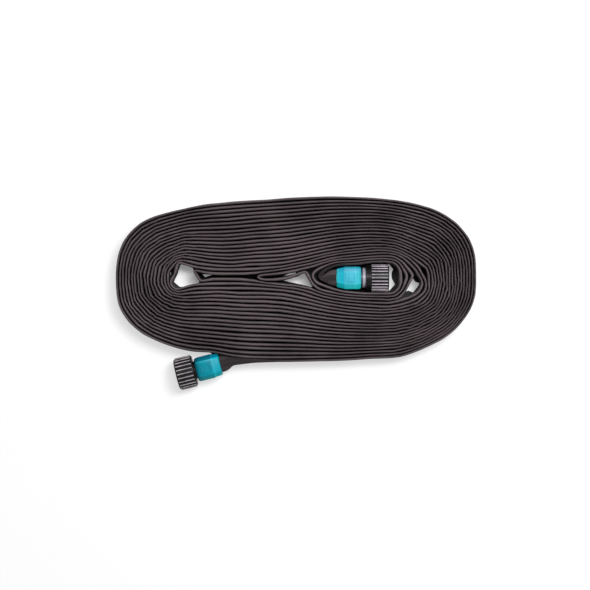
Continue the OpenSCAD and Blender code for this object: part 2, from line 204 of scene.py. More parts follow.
floor_mesh.materials.append(floor_white("floor_white", OPEN_GLOW, FLOOR_SUM - OPEN_GLOW))
print("floor:", FLOOR_SIZE, "m")

# %% World and lamps
AMBIENT = 0.15
LAMP_DISTANCE = 2.5
LAMPS = {
    "soft_lamp": {"share": 0.68, "size": 0.8, "elevation": 66, "direction": 42},
    "overhead_lamp": {"share": 0.2, "size": 0.45, "elevation": 77, "direction": 80},
}

world = bpy.data.worlds.new("studio")
scene.world = world
world.use_nodes = True
tree = world.node_tree
tree.nodes.clear()
seen = seen_ray(tree)
strength = add(tree, "ShaderNodeMapRange", {"Value": seen, "To Min": AMBIENT, "To Max": 1.0})
background = add(tree, "ShaderNodeBackground", {
    "Color": (1, 1, 1, 1), "Strength": strength.outputs["Result"],
})
out = add(tree, "ShaderNodeOutputWorld")
tree.links.new(background.outputs["Background"], out.inputs["Surface"])

for name, values in LAMPS.items():
    elevation = math.radians(values["elevation"])
    direction = math.radians(values["direction"])
    lamp_data = bpy.data.lights.new(name, "AREA")
    lamp_data.size = values["size"]
    lamp_data.energy = values["share"] * (math.pi * LAMP_DISTANCE) ** 2 / math.sin(elevation)
    lamp = bpy.data.objects.new(name, lamp_data)
    lamp_way = Vector((
        math.cos(direction) * math.cos(elevation),
        math.sin(direction) * math.cos(elevation),
        math.sin(elevation),
    ))
    lamp.location = lamp_way * LAMP_DISTANCE
    lamp.rotation_euler = lamp_way.to_track_quat("Z", "Y").to_euler()
    scene.collection.objects.link(lamp)
    print(name, round(lamp_data.energy, 1), "W")

# %% [markdown]
# ## The route of the hose
#
# A coil is easiest to describe as a rule: after so many turns, the hose is here. The rule is
# the CAD model's own, so the cloth lies close to where the CAD solid does. Every turn is an
# oval of four quarters. It grows by one step a turn, and its middle is drawn in by a waist.
# numpy works on all the points of the route at once.

# %% Sizes of the hose, in millimetres
TURNS = 22
HOSE_D = 18.5
HOSE_T = 2.1

# The last turn: how far it reaches to the sides, up and down from the middle.
REACH_LEFT = 192.3
REACH_RIGHT = 191.8
RISE_TOP = 88.4
RISE_BOTTOM = 86.2

# The innermost turns are listed one by one.
LAST_LISTED = 4
INNER_LEFT = np.array([-23, -16.6, 42.3, 108.6, 134])
INNER_RIGHT = np.array([112, 118.6, 125.4, 134.3, 139.6])
INNER_RISE = 17.4
INNER_MID = 66
OUTLET_Y = 16.3
OVAL_Y = 13.9
GROW_FROM = 0.25
GROW_OVER = 0.5

# The waist: where it is deepest, how far it goes each way, and how flat it is there.
WAIST_X = -45
WAIST_RIGHT = 85
WAIST_LEFT = 115
WAIST_FLAT = 45
WAIST_FLAT_SHARE = 0.75
WAIST_FLAT_TURNS = 4
WAIST_TOP = (22.8, 0.78)
WAIST_BOTTOM = (26, 1.26)

# The least half-height, two wider gaps between inner turns, and a dent in the last ones.
CLOSED_GAP = 2.1
THIRD_STEP = 1.35
THIRD_STEP_AT = 2.2
FOURTH_STEP = 0.8
FOURTH_STEP_AT = 3.2
DENT = (-88, 26, 2.3)
DENT_FROM = 4.5
DENT_GROWS_OVER = 3
TOP_PHASE = 0.25
BOTTOM_PHASE = 0.75
BOTTOM_STEP_EARLY = 0.42
LEFT_BOW = 0.12

# How full each quarter of the oval is: 2 is an ellipse, and more is closer to a rectangle.
LEFT_INNER_TURNS = 2
LEFT_INNER_ROUND = 2.3
LEFT_ROUND = 2.6
LEFT_ROUND_TOP = 2.9
LEFT_ROUND_BOTTOM = 2.75
RIGHT_TOP = [(0.25, 5), (1.25, 3.9), (2.25, 3.3), (3.25, 2.6), (4.25, 2.4), (6.25, 2.5),
             (10.25, 2.7), (15, 3), (22, 3.2)]
RIGHT_BOTTOM = [(0.75, 6.5), (1.75, 4.1), (2.75, 3), (3.75, 3.2), (4.75, 3.3), (6.75, 3.3),
                (10.75, 3.1), (15, 2.9), (22, 2.7)]


def flat_height(thickness):
    """How tall the hose stands on edge. Its girth stays the same as it is pressed flat."""
    return math.pi * HOSE_D / 2 - (math.pi / 2 - 1) * thickness


FLAT_H = flat_height(HOSE_T)
FLAT_Z = FLAT_H / 2
print("flat hose:", round(FLAT_H, 2), "mm high,", HOSE_T, "mm thick")


# %% The rule of the coil
def mix(a, b, t):
    return a + (b - a) * t


def clamp01(t):
    return np.clip(t, 0, 1)


def ease(t):
    c = clamp01(t)
    return c * c * (3 - 2 * c)


def bump(d):
    return np.where(np.abs(d) < 1, (1 + np.cos(np.pi * d)) / 2, 0)


def end_reach(m, inner, outer, bow):
    """How far turn m reaches: listed for the inner turns, and even steps from there on."""
    f = (m - LAST_LISTED) / (TURNS - 1 - LAST_LISTED)
    listed = inner[np.clip(m, 0, LAST_LISTED).astype(int)]
    return np.where(m < LAST_LISTED, listed, mix(inner[LAST_LISTED], outer, f + bow * f * (1 - f)))


def reach(u, inner, outer, bow):
    m = np.floor(u)
    grow = ease((u - m - GROW_FROM) / GROW_OVER)
    return mix(end_reach(m, inner, outer, bow), end_reach(m + 1, inner, outer, bow), grow)


def waist(x, u):
    """1 where the waist is deepest, and 0 where the turns run as if there were none."""
    flat = WAIST_FLAT * clamp01(WAIST_FLAT_TURNS - u)
    left = (x - WAIST_X + flat) / (WAIST_LEFT - WAIST_FLAT_SHARE * flat)
    d = np.where(x > WAIST_X, (x - WAIST_X) / WAIST_RIGHT, np.where(x > WAIST_X - flat, 0, left))
    return bump(d)


def step_out(u):
    return THIRD_STEP * clamp01(u - THIRD_STEP_AT) + FOURTH_STEP * clamp01(u - FOURTH_STEP_AT)


def half_height(x, u, rise, start, early, waist_depth, dent_depth):
    """Half the height of turn u's oval, less what the waist and the dent take off at x."""
    grown = mix(INNER_RISE, rise - THIRD_STEP - FOURTH_STEP, (u - start) / (TURNS - 1))
    drawn_in = np.maximum(0, waist_depth[0] - waist_depth[1] * u) * waist(x, u)
    late_turns = clamp01((u - TURNS + DENT_FROM) / DENT_GROWS_OVER)
    dent = dent_depth * late_turns * bump((x - DENT[0]) / DENT[1])
    return np.maximum(CLOSED_GAP, grown + step_out(u + early) - drawn_in - dent)


def coil_point(u):
    """The middle of the hose after u turns, from the left end by way of the top."""
    c = np.cos(2 * np.pi * u)
    s = np.sin(2 * np.pi * u)
    top = s >= 0
    left_goal = np.where(top, LEFT_ROUND_TOP, LEFT_ROUND_BOTTOM)
    left_outer = mix(LEFT_ROUND, left_goal, u / TURNS)
    left_roundness = np.where(u < LEFT_INNER_TURNS, LEFT_INNER_ROUND, left_outer)
    right_roundness = np.where(
        top, np.interp(u, *zip(*RIGHT_TOP)), np.interp(u, *zip(*RIGHT_BOTTOM))
    )
    n = np.where(c >= 0, left_roundness, right_roundness)
    along = np.abs(c)
    up = np.maximum(0, 1 - along**n) ** (1 / n)
    middle = mix(INNER_MID, 0, u / TURNS)
    right = reach(np.maximum(u - 0.5, 0), INNER_RIGHT, REACH_RIGHT, 0)
    left = reach(u, INNER_LEFT, REACH_LEFT, LEFT_BOW)
    x = mix(middle, np.where(c >= 0, -left, right), along)
    above = half_height(x, u, RISE_TOP, TOP_PHASE, 0, WAIST_TOP, 0)
    below = half_height(x, u, RISE_BOTTOM, BOTTOM_PHASE, BOTTOM_STEP_EARLY, WAIST_BOTTOM, DENT[2])
    y = mix(OUTLET_Y, OVAL_Y, u / TURNS) + np.where(top, above, -below) * up
    return np.stack([x, y], axis=-1)


print("after one turn the hose is at", np.round(coil_point(np.array([1.0])), 1).tolist())

# %% [markdown]
# ## From the route to a line
#
# The flat hose opens out into a round one at each fitting, so the line through its middle has
# a free stretch at both ends. The tables of the two ends say where the middle is and how
# thick the hose has become. The inner turns are too uneven for a rule, so their tables say
# where each one goes, as X and Y. All of it is strung together with the rule's turns. The
# line is then measured off in half-millimetre steps and smoothed a little, so that no corner
# stays where two parts meet.

# %% The inner turns, point by point
OUTLET_AT = (42.8, 16.3, 14.7)
INLET_AT = (-81.8, -76.2, 17.5)
OUTLET_ROWS = [
    (*OUTLET_AT, 18.4), (40.5, 16.3, 14.6, 18.2), (38, 16.2, 14.5, 17.4),
    (35.5, 16.1, 14.3, 15.4), (33, 16.1, 14.1, 12.8), (30.5, 16, 14, 10), (28.5, 15.9, 14, 7.4),
    (26.2, 15.9, FLAT_Z, 4.4), (24.5, 16.9, FLAT_Z, 2.3), (24.3, 18.7, FLAT_Z, 2.1),
]
TURN_0 = [
    (26.5, 21), (30.5, 24.4), (36.5, 27.8), (43, 30), (52, 30.7), (60, 30.9), (68, 31.6),
    (75, 32.7), (82, 33.4), (90, 33.7), (98, 33.6), (105, 32.1), (108.7, 28.3), (111.2, 22.5),
    (111.9, 17), (111.8, 9.2), (109.4, 4), (103, -0.9), (90, -1), (75, -0.9), (66, -0.3),
    (58, 0.5), (49.8, 1.5), (39.5, 4.3), (30.9, 7.4), (23.8, 10), (20.2, 12.4), (18, 15.6),
]
TURN_1 = [
    (17.5, 19.4), (19.4, 22.8), (24.3, 26), (30.9, 29.2), (36.7, 31.4), (43, 33), (52, 33.7),
    (60, 34.1), (68, 34.9), (75, 35.9), (82, 36.5), (90, 36.9), (98, 36.6), (106, 35.1),
    (110.6, 31.8), (114.7, 25.5), (118.2, 18), (115.7, 10), (112, 2.2), (104.7, -3.4),
    (95, -3.9), (75, -3.7), (60, -2.9), (49.8, -1.6), (36.7, 0.6), (26, 3), (20.8, 6),
    (16.6, 10.6), (13.2, 17.4), (10.8, 22.4), (8.6, 23.4), (5, 22.2), (-2, 18.8), (-8, 16.6),
    (-14.4, 15.4), (-22.6, 14.4), (-32.5, 13.9), (-38.5, 14.7),
]
TURN_2 = [
    (-41.9, 16.8), (-40, 18.9), (-34, 19.7), (-22.6, 20.6), (-10.3, 22.4), (2.1, 24.8),
    (16, 28.2), (24.3, 30.9), (36.7, 34.4), (48, 36.2), (60, 37.2), (75, 38.7), (88, 39.5),
    (97, 39.7), (104, 38.9), (112.3, 34.2), (118.8, 26.4), (124.6, 18.9), (120.8, 11.4),
    (116.2, 2.2), (109.6, -5.4), (99, -7.6), (90, -6.9), (75, -6.6), (60, -5.7), (50, -4.6),
    (40, -2.9), (30, -0.9), (22, 1.9), (16, 4.4), (0, 7.6), (-15, 9), (-30, 10.6),
    (-35, 11.2), (-42, 12.6), (-50, 14), (-60, 14.9), (-75, 15), (-88, 14.9), (-94, 14.4),
    (-101.2, 12.6), (-103.6, 13.8),
]
TURN_3 = [
    (-106.4, 18), (-109.6, 23), (-108.8, 24.6), (-105.3, 23.8), (-98.7, 21.9), (-90, 20.9),
    (-75, 20.6), (-60, 20.6), (-45, 21.5), (-34, 22.8), (-22.6, 24), (-10.3, 26), (2.1, 28.6),
    (16, 31.6), (24.3, 33.9), (36.7, 37.2), (48, 39), (60, 40.1), (75, 41.7), (88, 42.5),
    (98, 42.6), (107, 41), (114, 37.6), (120.8, 31.6), (127.2, 25), (134.8, 12.5),
    (134.2, 8), (131.6, 2.6), (127, -1.6), (120, -4.8), (111.5, -7.8), (99, -10.6),
    (90, -10.5), (75, -9.8), (60, -8.8), (48, -7.6), (38, -6), (28, -3.8), (20, -1.4), (10, 2.2),
    (0, 4.6), (-15, 6.2), (-30, 7.7), (-45, 9.2), (-60, 9.8), (-90, 9.6), (-105, 9.4),
    (-112, 8.6), (-120, 6.4), (-126, 4.4), (-129.8, 3.8), (-133.7, 6.9), (-135.6, 10.2),
]
TURN_4 = [
    (-134.4, 13.6), (-131.6, 17.6), (-129.8, 21.7), (-128.8, 26.7), (-127.7, 31.6),
    (-126, 33.4), (-122, 32.4), (-114.4, 29.3), (-105, 27.3), (-90, 25.7), (-75, 25.1),
    (-60, 25.2), (-45, 25.9), (-30, 27.2), (-15, 28.6), (0, 31.5), (16, 34.9), (30, 38.9),
    (45, 41.9), (60, 43.3), (75, 44.9), (90, 45.9), (100, 45.5), (110, 43), (120.2, 37.6),
    (130.2, 27.4), (138.2, 13), (139.2, 6.5), (136.6, 0.4), (130, -5.2), (121.5, -9.4),
    (111.5, -12.6), (99, -14.6), (90, -14.4), (75, -13.4), (60, -12.2), (48, -10.9),
    (38, -9.4), (28, -7.4), (16, -4), (5, -0.6), (-5, 1.6), (-15, 3), (-30, 4), (-45, 4.9),
    (-60, 5.3), (-90, 5.1), (-105, 4.9), (-112, 4), (-120, 1.9), (-125.5, 0.6), (-130, 0.9),
    (-134.4, 3.4),
    (-136.6, 6.9), (-138, 11.9), (-138.6, 16.8), (-138, 22.5), (-134.6, 28.9), (-130.6, 34.2),
    (-127, 36.6), (-121, 35.9), (-114.4, 33.8), (-105, 31.6), (-97, 30.7),
]
INLET_ROWS = [
    (-15, -72.6, FLAT_Z, 2.3), (-30, -72.8, FLAT_Z, 2.8), (-45, -72.6, 14, 4.4),
    (-55, -72.4, 14.2, 7), (-63, -72.6, 14.6, 8.8), (-68.5, -73, 15.1, 9.8),
    (-71, -73.4, 15.6, 12.6), (-73, -73.9, 15.9, 15.6), (-76.5, -75, 16.6, 17.8),
    (-79, -75.6, 17.2, 18.4), (*INLET_AT, 18.4),
]
print("drawn by hand:", sum(len(t) for t in (TURN_0, TURN_1, TURN_2, TURN_3, TURN_4)), "points")

# %% [markdown]
# The outer turns follow the rule, with one correction. A real coil sags in its waist and
# bulges beside it. Each bump in the table has a middle, a reach and a height, in millimetres.
# The inner bumps move the turns next to the listed ones, the outer bumps move the last
# turn, and the turns in between take their share of both.

# %% The line through the middle of the hose
# The columns of the line's table are X, Y, Z, the thickness and the number of turns.
THICK_COLUMN = 3
TURN_COLUMN = 4
RULE_START = 5.125
RULE_END = 21.75
RULE_POINTS = 10000
LEAD_TURNS = 0.2
LEAD_GAP = 0.02
STEP = 0.5
SMOOTHING = 5
SIDE_BLEND = 0.9
SAGS = {
    "top inner": [(20, 72, -9.8), (75, 35, -1.8), (-82, 44, -4.2), (-122, 18, 2.5),
                  (130, 30, -3.4)],
    "top outer": [(-35, 75, 3), (-130, 40, -2.9), (190, 45, -2.5)],
    "bottom inner": [(18, 70, 8.6), (75, 35, 1.6), (-96, 44, 5)],
    "bottom outer": [(112, 38, -3), (185, 35, 4)],
}


def bumps(which, x):
    return sum(height * bump((x - middle) / reach_out) for middle, reach_out, height in SAGS[which])


def sag(x, u):
    outer_share = (u - RULE_START) / (RULE_END - RULE_START)
    top = mix(bumps("top inner", x), bumps("top outer", x), outer_share)
    bottom = mix(bumps("bottom inner", x), bumps("bottom outer", x), outer_share)
    side = ease(0.5 + np.sin(2 * np.pi * u) / SIDE_BLEND)
    return mix(bottom, top, side)


rule_u = np.linspace(RULE_START, RULE_END, RULE_POINTS)
rule_xy = coil_point(rule_u)
rule_xy[:, 1] += sag(rule_xy[:, 0], rule_u)
hand_xy = np.array(TURN_0 + TURN_1 + TURN_2 + TURN_3 + TURN_4)


def rows_of(points, turns):
    count = len(points)
    return np.column_stack([points, np.full(count, FLAT_Z), np.full(count, HOSE_T), turns])


def turns_between(first, last, count):
    return np.linspace(first, last, count, endpoint=False)


line = np.vstack([
    np.column_stack([OUTLET_ROWS, turns_between(-LEAD_TURNS, 0, len(OUTLET_ROWS))]),
    rows_of(hand_xy, turns_between(0, RULE_START, len(hand_xy))),
    rows_of(rule_xy, rule_u),
    np.column_stack([
        INLET_ROWS, turns_between(RULE_END + LEAD_GAP, RULE_END + LEAD_TURNS, len(INLET_ROWS)),
    ]),
])


def distance_along(points):
    steps = np.linalg.norm(np.diff(points[:, :2], axis=0), axis=1)
    return np.concatenate([[0], np.cumsum(steps)])


def measured_off(table, at):
    along = distance_along(table)
    return np.column_stack([np.interp(at, along, column) for column in table.T])


def smoothed(table, width):
    """A running mean. The line is carried on past both ends, so that they stay in place."""
    before = 2 * table[0] - table[width:0:-1]
    after = 2 * table[-1] - table[-2:-width - 2:-1]
    padded = np.vstack([before, table, after])
    kernel = np.ones(2 * width + 1) / (2 * width + 1)
    return np.column_stack([np.convolve(c, kernel, "valid") for c in padded.T])


line = measured_off(line, np.arange(0, distance_along(line)[-1], STEP))
line = smoothed(line, SMOOTHING)


# %% Corners in the round ends
RIGHT_MIDDLE = (85, 14)
LEFT_MIDDLE = (-105, 14)
RIGHT_CORNERS = [-125, -98, -72, -48, -26, -5, 15, 37, 61, 86, 112]
LEFT_CORNERS = [75, 112, 138, 158, 180, 202, 226, 262, 290]
CORNER_DRIFT = 8
DRIFT_TURNS = 2.5
FADE_IN = 30
CORNER_STICKS_OUT = 0.7
CORNER_STRENGTH = [(5, 0), (6, 1), (13, 0.9), (18, 0.35), (22, 0.06)]
SEED = 7
rng = np.random.default_rng(SEED)


def drawn_in_to_corners(table, middle, corners, sign):
    """Draws a round end in, between the given angles, so that its turns become polygons."""
    away = table[:, :2] - middle
    distance = np.linalg.norm(away, axis=1)
    angle = np.degrees(np.arctan2(away[:, 1], away[:, 0]))
    angle = np.where(angle < corners[0], angle + 360, angle)
    drift = rng.uniform(-1, 1, int(TURNS / DRIFT_TURNS) + 3)
    knots = np.arange(len(drift)) * DRIFT_TURNS
    angle = angle + CORNER_DRIFT * np.interp(table[:, TURN_COLUMN], knots, drift)
    k = np.clip(np.searchsorted(corners, angle) - 1, 0, len(corners) - 2)
    low = np.radians(np.array(corners)[k])
    high = np.radians(np.array(corners)[k + 1])
    half = (high - low) / 2
    factor = np.cos(half) / np.cos(np.clip(np.radians(angle) - (low + high) / 2, -half, half))
    factor = factor * (1 + CORNER_STICKS_OUT * (1 - np.cos(half)))
    strength = np.interp(table[:, TURN_COLUMN], *zip(*CORNER_STRENGTH))
    strength = strength * ease(sign * away[:, 0] / FADE_IN) * np.sqrt(np.abs(away[:, 0]) / distance)
    return table[:, :2] + away * ((factor - 1) * strength)[:, None]


line[:, :2] = drawn_in_to_corners(line, RIGHT_MIDDLE, RIGHT_CORNERS, 1)
line[:, :2] = drawn_in_to_corners(line, LEFT_MIDDLE, LEFT_CORNERS, -1)
print("line:", len(line), "steps")

# %% [markdown]
# ## Room between the turns
#
# Real turns aren't spaced like the grooves of a record. They lean on each other in one place
# and stand apart in another, and the stiff hose takes a bend in short straight pieces. Before
# the line may be moved, each point has to know how far away its neighbours are. A k-d tree
# finds them: it answers which points lie within so many millimetres of a given one.
#
# The moves are small and random, so two turns can still end up inside each other. At the end
# every stretch is pushed off its neighbours, a little at a time. A gentle push settles after
# a few rounds, but a hard one makes a tight stack of turns swing to and fro.

# %% Kinks and wandering
LEAST_GAP = 0.32
LOOK_AROUND = 7
OWN_STRETCH = 7
OPEN_SPACE = 50.0
KINK_SPACING = (13, 27)
KINK_SHARE = 0.8
KINK_STRENGTH = [(RULE_START, 0), (RULE_START + 0.1, 1), (20, 1), (21, 0.25)]
KINK_SMOOTHING = 2
WANDER_SHARE = 0.19
WANDER_WAVES = [(0.7, 60), (0.5, 18)]
WANDER_SIZE = 1.3
MOVE_MAX = 1.4
FLAT_UNTIL = 2.4
FLAT_FADE = 0.3
PUSH_ROUNDS = 12
PUSH_SHARE = 0.4
PUSH_WIDTH = 16
LEANING_ROOM = 0.6


def noise(along, wavelength):
    """Smooth random numbers from -1 to 1, one bend for each wavelength or so."""
    knots = rng.uniform(-1, 1, int(along.max() / wavelength) + 3)
    k = np.floor(along / wavelength).astype(int)
    return mix(knots[k], knots[k + 1], ease(along / wavelength - k))


def waves(along, sizes):
    """Random numbers of several wavelengths, each of its own size, added together."""
    return sum(size * noise(along, wavelength) for size, wavelength in sizes)


def left_of(points):
    ahead = np.gradient(points[:, :2], axis=0)
    ahead /= np.linalg.norm(ahead, axis=1, keepdims=True)
    return np.column_stack([-ahead[:, 1], ahead[:, 0]])


def rooms(table):
    """Distances from each point to the nearest other stretch of hose, on its left and right."""
    along = distance_along(table)
    left = left_of(table)
    tree = kdtree.KDTree(len(table))
    for i in range(0, len(table), 2):
        tree.insert((*table[i, :2], 0), i)
    tree.balance()
    found = np.full((2, len(table)), OPEN_SPACE)
    for i in range(0, len(table), 2):
        here = table[i]
        for spot, j, apart in tree.find_range((here[0], here[1], 0), LOOK_AROUND):
            if abs(along[j] - along[i]) > OWN_STRETCH:
                on_left = (spot[0] - here[0]) * left[i, 0] + (spot[1] - here[1]) * left[i, 1]
                side = 0 if on_left > 0 else 1
                if apart < found[side, i]:
                    found[side, i:i + 2] = apart
    return found


def pushed_apart(table, share):
    """Moves stretches apart where they lie closer together than the hose is thick."""
    table = table.copy()
    for _ in range(PUSH_ROUNDS):
        lack = np.maximum(0, HOSE_T + LEANING_ROOM - rooms(table))
        push = smoothed((lack[1] - lack[0])[:, None] * PUSH_SHARE, PUSH_WIDTH)
        table[:, :2] += left_of(table) * push * share[:, None]
    return table


along = distance_along(line)
flatness = clamp01((FLAT_UNTIL - line[:, THICK_COLUMN]) / FLAT_FADE)
slack = np.clip(rooms(line).min(axis=0) - HOSE_T - LEAST_GAP, 0, MOVE_MAX)
corners = np.cumsum(rng.uniform(*KINK_SPACING, int(along[-1] / KINK_SPACING[0])))
corners = np.concatenate([[0], corners[corners < along[-1]], along[-1:]])
chords = np.column_stack([
    np.interp(along, corners, np.interp(corners, along, column)) for column in line[:, :2].T
])
pull = chords - line[:, :2]
size = np.linalg.norm(pull, axis=1) + 1e-9
stiffly = np.interp(line[:, TURN_COLUMN], *zip(*KINK_STRENGTH))
pull *= (np.minimum(size, KINK_SHARE * slack) / size * flatness * stiffly)[:, None]
wander = np.clip(WANDER_SIZE * waves(along, WANDER_WAVES), -1, 1)
line[:, :2] += pull + left_of(line) * (wander * WANDER_SHARE * slack * flatness)[:, None]
line = pushed_apart(smoothed(line, KINK_SMOOTHING), flatness)
hose_length = distance_along(line)[-1]
print("moved:", round(np.abs(pull).max(), 2), "mm at most; least room",
      round(rooms(line)[:, flatness > 0.5].min(), 2), "mm; hose", round(hose_length / 1000, 3), "m")

# %% [markdown]
# ## The rings of the hose
#
# The hose is one long tube. It is made from a flat grid: one way of the grid runs along the
# hose and the other round it. Every row of the grid becomes a ring. Sixteen points go round:
# five over the top fold, five under the bottom fold and three down each flat side. The rings
# stand closer together where the hose bends.

# %% Rings
RINGS = 6000
RING_POINTS = 16
FOLD_ANGLES = np.radians([10, 50, 90, 130, 170])
SIDE_LEVELS = np.array([-0.68, 0, 0.68])
SIDE_BULGE = np.array([0.97, 0.9, 0.97])
FOLD_MAX = 1.65
BETWEEN = 1.25
FOLD_TALL = 3.4
CREASE = 1.3
FLAT_RING_UNTIL = 2.6
FLAT_RING_FADE = 0.5
WIDTH_CHANGE = 0.08
WIDTH_WAVELENGTH = 30
OUTERMOST_FOLD = 1.3
NOTHING_WITHIN = 20
NEIGHBOUR_SPREAD = 1.1
CROWDING = 9
CROWDED_BEND = 0.3
BEND_SMOOTHING = 6
TURNING_SMOOTHING = 2
TOP_WAVES = [(1.4, 260), (0.5, 45), (0.2, 12)]
LEAN_WAVES = [(0.22, 50)]
FOOT_LIFT = 0.15
FOOT_WAVELENGTH = 80
CREASE_WAVELENGTH = 6
CREASE_DEPTH = 0.1
CREASES_ROUND = 1.5
FIRST_CREASE = 0.6
LEANING_END = (111.9, 14)
LEAN_IN = 5
LEAN_REACH = 16
WITHIN_BEND = 0.5
LEAST_TURNING = 0.01

along = distance_along(line)
heading = np.unwrap(np.arctan2(*np.gradient(line[:, :2], axis=0).T[::-1]))
turning = np.gradient(heading, along)[:, None]
bending = np.abs(smoothed(turning, BEND_SMOOTHING)[:, 0])
density = 1 + CROWDING * np.minimum(bending, CROWDED_BEND)
cumulative = np.concatenate([[0], np.cumsum((density[1:] + density[:-1]) / 2 * np.diff(along))])
stations = np.interp(np.linspace(0, cumulative[-1], RINGS), cumulative, along)
turning = smoothed(turning, TURNING_SMOOTHING)
rings = measured_off(np.column_stack([line, *rooms(line), turning]), stations)
x, y, z, thick, _, outward, inward, turning = rings.T
side = left_of(rings)

height = flat_height(thick)
flat = clamp01((FLAT_RING_UNTIL - thick) / FLAT_RING_FADE)


def half_width(space, loose, turning):
    """Half the hose's width on one side: it springs open as far as its neighbour lets it."""
    springs_to = np.clip(0.5 * (space - BETWEEN), HOSE_T / 2, loose)
    room = space - NEIGHBOUR_SPREAD * springs_to - LEAST_GAP
    opened = np.minimum(thick / 2, np.maximum(room, HOSE_T / 2))
    uneven = springs_to * (1 + WIDTH_CHANGE * noise(stations, WIDTH_WAVELENGTH))
    half = mix(opened, uneven, flat)
    return np.minimum(half, WITHIN_BEND / np.maximum(turning, LEAST_TURNING))


def loosest(space):
    """The widest a fold may spring open: less on the outside of the coil."""
    return np.where(space > NOTHING_WITHIN, OUTERMOST_FOLD, FOLD_MAX)


out_half = half_width(outward, loosest(outward), turning)
in_half = half_width(inward, loosest(inward), -turning)
top_lift = waves(stations, TOP_WAVES) * flat
lean = waves(stations, LEAN_WAVES) * flat
leaning_at = np.argmin(np.hypot(x - LEANING_END[0], y - LEANING_END[1]))
foot_in = LEAN_IN * bump((stations - stations[leaning_at]) / LEAN_REACH)

straight = height / 2 - HOSE_T / 2
columns = []


def fold(sign):
    """Points over the top fold (sign 1) or under the bottom one (sign -1), as (across, up)."""
    rows = []
    for angle in FOLD_ANGLES:
        half = out_half if math.cos(angle) > 0 else in_half
        tall = mix(FOLD_TALL, thick / 2, 1 - flat)
        rows.append((half * math.cos(angle), sign * (height / 2 - tall + tall * math.sin(angle))))
    return rows


def flat_side(sign, half):
    return [(sign * half * b, straight * level) for level, b in zip(SIDE_LEVELS, SIDE_BULGE)]


under = fold(-1)
over = fold(1)
outline = under[2::-1] + flat_side(1, out_half) + over + flat_side(-1, in_half)[::-1] + under[:2:-1]
roundness = clamp01((thick - HOSE_T) / (HOSE_D - HOSE_T))
for k, (across, up) in enumerate(outline):
    angle = -math.pi / 2 + 2 * math.pi * k / RING_POINTS
    across = mix(across, thick / 2 * math.cos(angle), roundness**2)
    up = mix(up, height / 2 * math.sin(angle), roundness**2)
    crumpled = CREASE * 4 * roundness * (1 - roundness) * noise(stations, CREASE_WAVELENGTH)
    crease = crumpled * abs(math.sin(angle * CREASES_ROUND + FIRST_CREASE))
    across = across * (1 - CREASE_DEPTH * crease)
    foot_lift = FOOT_LIFT * clamp01(-up / FLAT_Z) * flat * noise(stations, FOOT_WAVELENGTH)
    lifted = up + top_lift * clamp01(up / FLAT_Z) + foot_lift
    leaning = across + lean * up / FLAT_Z - foot_in * clamp01(0.5 - up / (2 * FLAT_Z))
    columns.append(np.column_stack([
        x + side[:, 0] * leaning, y + side[:, 1] * leaning, np.maximum(z + lifted, 0),
    ]))
tube = np.stack(columns, axis=1)
print("tube:", tube.shape, "highest", round(tube[..., 2].max(), 2), "mm")


# %% A tube from a grid
def object_from(bm, name, body, material, sharp_angle):
    """Turns a bmesh into a smooth-shaded piece that rides on a body of the frame."""
    mesh = bpy.data.meshes.new(name)
    bm.to_mesh(mesh)
    bm.free()
    mesh.materials.append(material)
    mesh.shade_smooth()
    mesh.set_sharp_from_angle(angle=math.radians(sharp_angle))
    piece = bpy.data.objects.new(name, mesh)
    scene.collection.objects.link(piece)
    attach(piece, body)
    return piece


GRID_EDGE = 0.999
SEAM_MERGE = 1e-7

bm = bmesh.new()
uv_layer = bm.loops.layers.uv.new("UVMap")
bmesh.ops.create_grid(bm, x_segments=RINGS - 1, y_segments=RING_POINTS, size=1, calc_uvs=True)
places = np.array([v.co[:2] for v in bm.verts])
ring_of = np.rint((places[:, 0] + 1) / 2 * (RINGS - 1)).astype(int)
point_of = np.rint((places[:, 1] + 1) / 2 * RING_POINTS).astype(int) % RING_POINTS
girth = 2 * HOSE_D * math.pi / 2 * MM
for vertex, place in zip(bm.verts, tube[ring_of, point_of] * MM):
    vertex.co = place
ring_uv = stations * MM
for face in bm.faces:
    for loop in face.loops:
        u, v = loop[uv_layer].uv
        loop[uv_layer].uv = (ring_uv[round(u * (RINGS - 1))], v * girth)
seam = [v for v, p in zip(bm.verts, places) if abs(p[1]) > GRID_EDGE]
bmesh.ops.remove_doubles(bm, verts=seam, dist=SEAM_MERGE)
bmesh.ops.holes_fill(bm, edges=[e for e in bm.edges if e.is_boundary], sides=RING_POINTS)
bmesh.ops.recalc_face_normals(bm, faces=bm.faces)
print("hose:", len(bm.verts), "points,", sum(len(f.verts) - 2 for f in bm.faces), "triangles,",
      sum(not e.is_manifold for e in bm.edges), "open edges")

# %% [markdown]
# ## Woven cloth
#
# The jacket is a plain weave of thick polyester yarn. The threads are drawn from the hose's
# own UVs, which are in metres: one way runs along the hose and the other round it. So the
# threads keep their size in the bends too.

# %% Cloth material
CLOTH_DARK = (0.032, 0.026, 0.028)
CLOTH_LIGHT = (0.188, 0.153, 0.162)
CLOTH_RELIEF = 0.05 * MM
YARN_ALONG = 1.25 * MM
YARN_ROUND = 0.95 * MM
WEAVE_TONE = 0.07
WORN_SCALE = 30.0
WORN_DETAIL = 3.0
LINT_SCALE = 900.0
LINT_TONE = 0.5
LINT_RELIEF = 1.5
# Paler along both folds: partly wear, partly a painted highlight on the lit top edge.
FOLD_WEAR_AND_HIGHLIGHT = 0.48
FOLD_WEAR_AND_HIGHLIGHT_SHARPNESS = 3.0
# Within these distances of the hose's ends, in metres, the folds get painted shade instead of the
# highlight.
LEAD_END = (0.03, 0.11)
LEAD_FOLD_PAINTED_SHADE = -0.9
